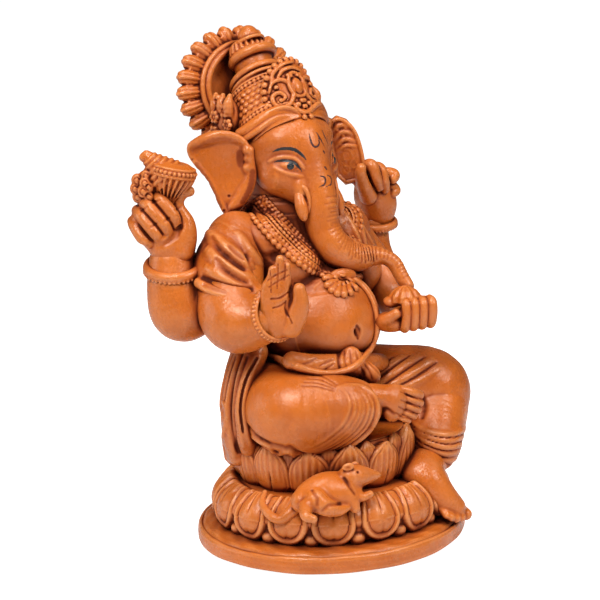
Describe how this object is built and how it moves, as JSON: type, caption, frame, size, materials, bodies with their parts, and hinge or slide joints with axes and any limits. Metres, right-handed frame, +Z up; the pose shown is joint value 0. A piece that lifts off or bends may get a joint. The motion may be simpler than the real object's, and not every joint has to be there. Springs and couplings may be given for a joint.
{
  "type": "ganesha idol",
  "caption": "Seated elephant-headed deity statuette in one-colour cast resin, with crown, petal halo, conch, axe, sweet and a mouse, on a double lotus and a flat oval plinth.",
  "frame": {"origin": "centre of the oval plinth's flat underside", "axes": "+Z up; -Y the way the figure faces; +X towards the figure's own left hand"},
  "size_m": [0.1239, 0.1, 0.1835],
  "materials": {
    "resin": "satin cast resin, orange-tan, with a darker red-brown wash left in the recesses",
    "painted_eyes": "thin black and grey brushed paint"
  },
  "bodies": {
    "root": {"base_plate": "resin", "lower_lotus": "resin", "upper_lotus": "resin", "shawl": "resin", "torso": "resin", "right_leg": "resin", "left_leg": "resin", "right_foot": "resin", "left_foot": "resin", "waist_apron": "resin", "hanging_drape": "resin", "right_rear_arm": "resin", "left_rear_arm": "resin", "right_front_arm": "resin", "left_front_arm": "resin", "right_rear_hand": "resin", "left_rear_hand": "resin", "right_front_hand": "resin", "left_front_hand": "resin", "right_rear_bangle": "resin", "left_rear_bangle": "resin", "right_front_bangle": "resin", "left_front_bangle": "resin", "conch": "resin", "ceremonial_axe": "resin", "head": "resin", "trunk": "resin", "right_tusk": "resin", "left_tusk": "resin", "right_ear": "resin", "left_ear": "resin", "right_eye": "painted_eyes", "left_eye": "painted_eyes", "halo": "resin", "crown": "resin", "crown_plate": "resin", "crown_finial": "resin", "right_rosette": "resin", "left_rosette": "resin", "sweet": "resin", "bead_necklace": "resin", "bead_garland": "resin", "garland_pendant": "resin", "sacred_thread": "resin", "mouse": "resin"}
  },
  "joints": []
}
